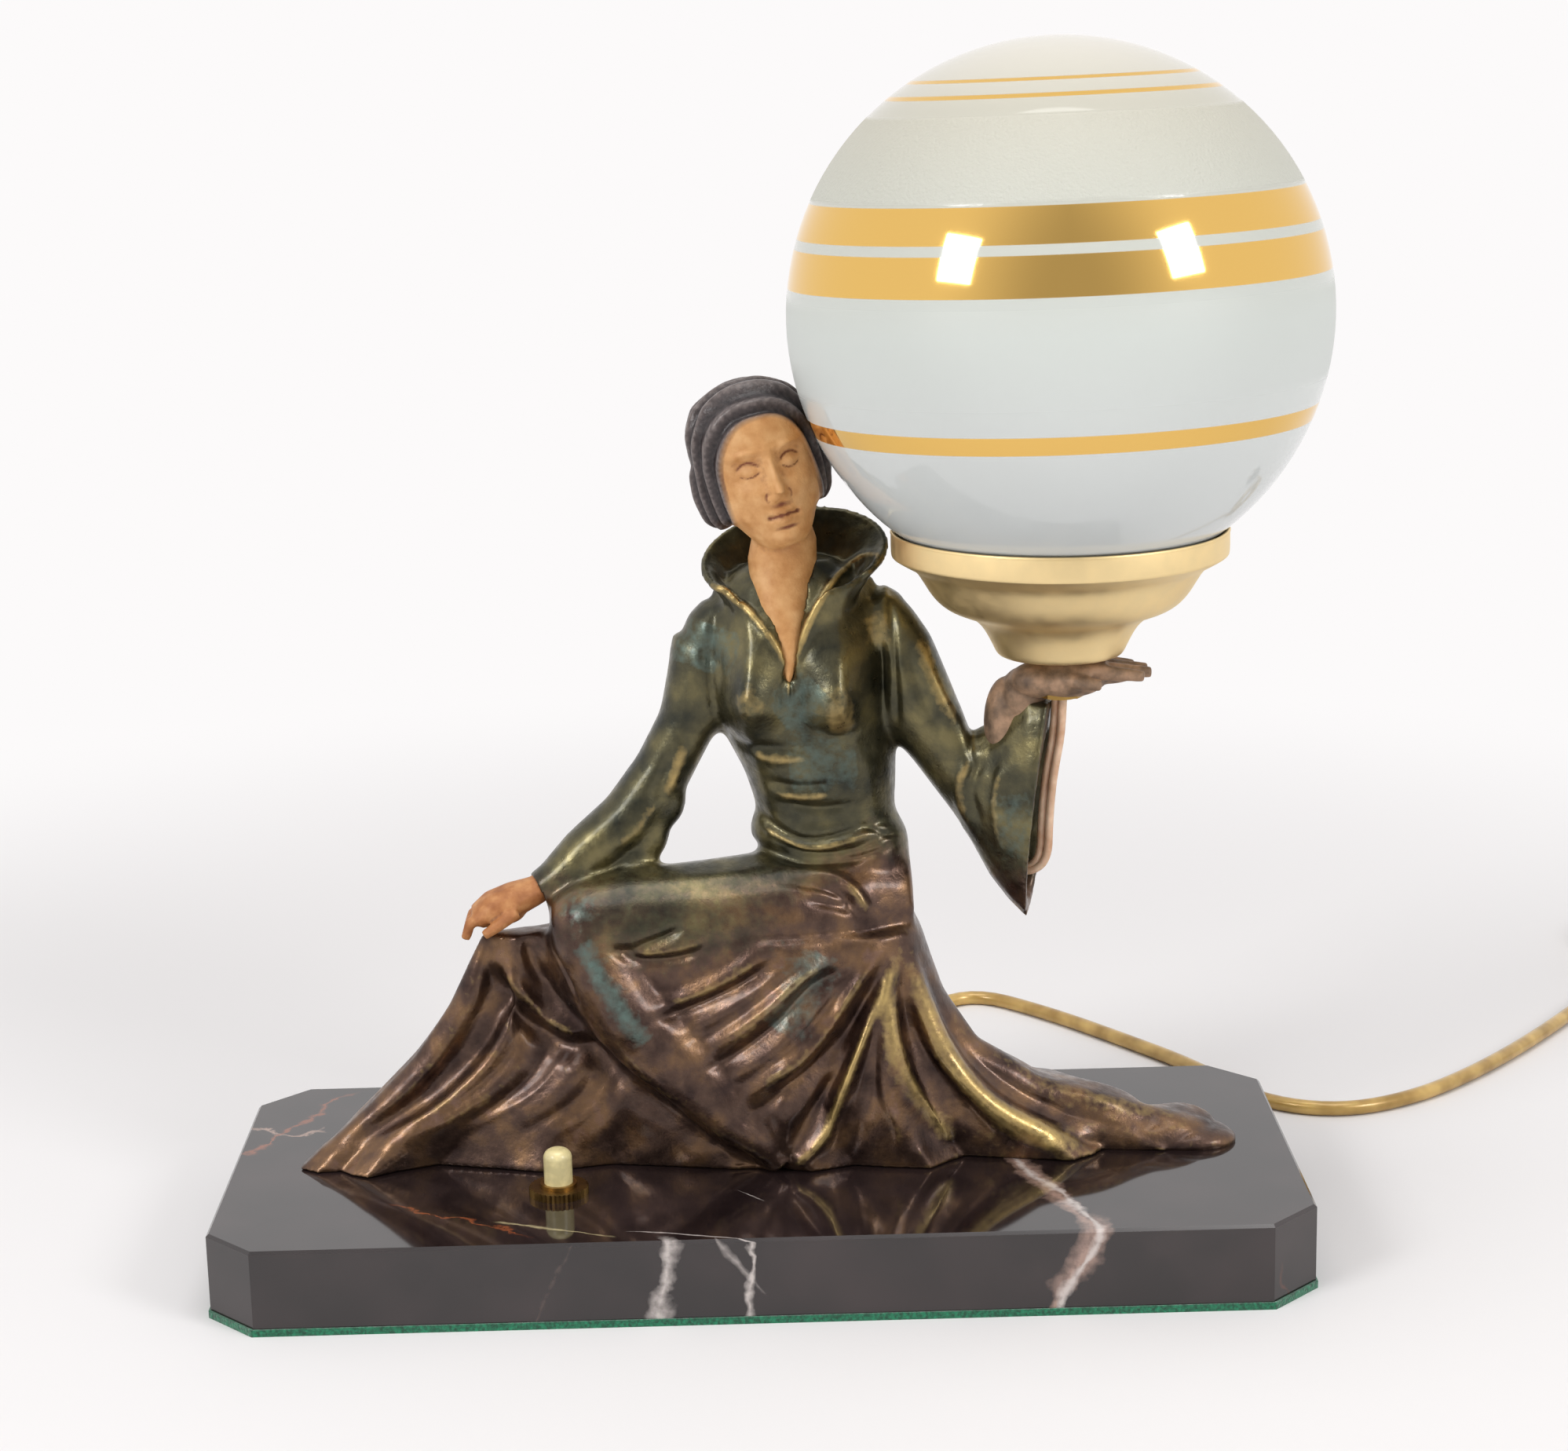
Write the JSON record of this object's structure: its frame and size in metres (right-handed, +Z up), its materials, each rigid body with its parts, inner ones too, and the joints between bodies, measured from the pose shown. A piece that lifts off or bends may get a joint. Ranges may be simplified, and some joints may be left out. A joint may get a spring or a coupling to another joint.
{
  "type": "figural table lamp",
  "caption": "Table lamp: seated lady in a long gown on a stone base holds up a gallery with a banded glass globe; push switch on the base.",
  "frame": {"origin": "centre of the underside of the felt pad", "axes": "+X to the raised hand and globe, +Y to the back where the cord leaves, +Z up"},
  "size_m": [0.5451, 0.354, 0.3336],
  "materials": {
    "felt": "dark green felt",
    "marble": "polished black marble with white and rust veins",
    "bush_plastic": "moulded black bush",
    "bakelite": "brown moulding",
    "ivory_plastic": "ivory moulding",
    "brass": "plain brass",
    "gallery_brass": "satin pale brass",
    "steel": "zinc plated",
    "spring_steel": "hard drawn",
    "porcelain": "glazed porcelain",
    "cord_gold": "translucent gold flex",
    "wire_rubber": "rubber insulation",
    "plug_plastic": "dark moulding",
    "bronze_patina": "patinated cast metal, rubbed highlights",
    "skin_paint": "worn tan paint on the casting",
    "bulb_glass": "frosted lamp glass",
    "globe_glass": "satin and frosted glass with gilt bands"
  },
  "bodies": {
    "lamp": {"base_lead": "cord_gold", "block_screw_1": "brass", "block_screw_2": "brass", "block_screw_3": "brass", "block_screw_4": "brass", "bodice_casting": "bronze_patina", "centre_contact": "brass", "cord_bush": "bush_plastic", "cord_coil": "cord_gold", "felt_pad": "felt", "figure_stud_1": "steel", "figure_stud_2": "steel", "gallery": "gallery_brass", "gallery_nut": "brass", "gallery_spring_1": "spring_steel", "gallery_spring_2": "spring_steel", "gallery_spring_3": "spring_steel", "head": "skin_paint", "holder_insulator": "porcelain", "holder_ring": "brass", "holder_shell": "brass", "lamp_lead": "cord_gold", "left_hand": "skin_paint", "left_sleeve": "bronze_patina", "mains_cord": "cord_gold", "marble_base": "marble", "nipple_tube": "brass", "palm_nut": "brass", "palm_washer": "steel", "plug_body": "plug_plastic", "plug_pin_1": "brass", "plug_pin_2": "brass", "right_hand": "skin_paint", "right_sleeve": "bronze_patina", "skirt_casting": "bronze_patina", "socket_shell": "brass", "stud_nut_1": "steel", "stud_nut_2": "steel", "stud_washer_1": "steel", "stud_washer_2": "steel", "switch_body": "bakelite", "switch_bush": "brass", "switch_contact_1": "brass", "switch_contact_2": "brass", "switch_ring_nut": "brass", "switch_spring": "spring_steel", "switch_wire_1": "wire_rubber", "switch_wire_2": "wire_rubber", "terminal_block": "porcelain", "terminal_screw_1": "brass", "terminal_screw_2": "brass"},
    "button": {"switch_button": "ivory_plastic", "switch_contact_disc": "brass"},
    "globe": {"globe_shade": "globe_glass"},
    "bulb": {"bulb_cap": "brass", "bulb_glass": "bulb_glass"}
  },
  "joints": [
    {"name": "button_press", "type": "slide", "parent": "lamp", "child": "button", "axis": [0, 0, -1], "range_m": [0, 0.003], "stiffness_N_per_m": 400, "deforming": ["switch_spring"]},
    {"name": "globe_lift", "type": "slide", "parent": "lamp", "child": "globe", "axis": [0, 0, 1], "range_m": [0, 0.12]},
    {"name": "bulb_turn", "type": "hinge", "parent": "lamp", "child": "bulb", "pos_m": [0.0849, -0.008, 0.2], "axis": [0, 0, 1], "range_deg": [0, 1080]}
  ]
}
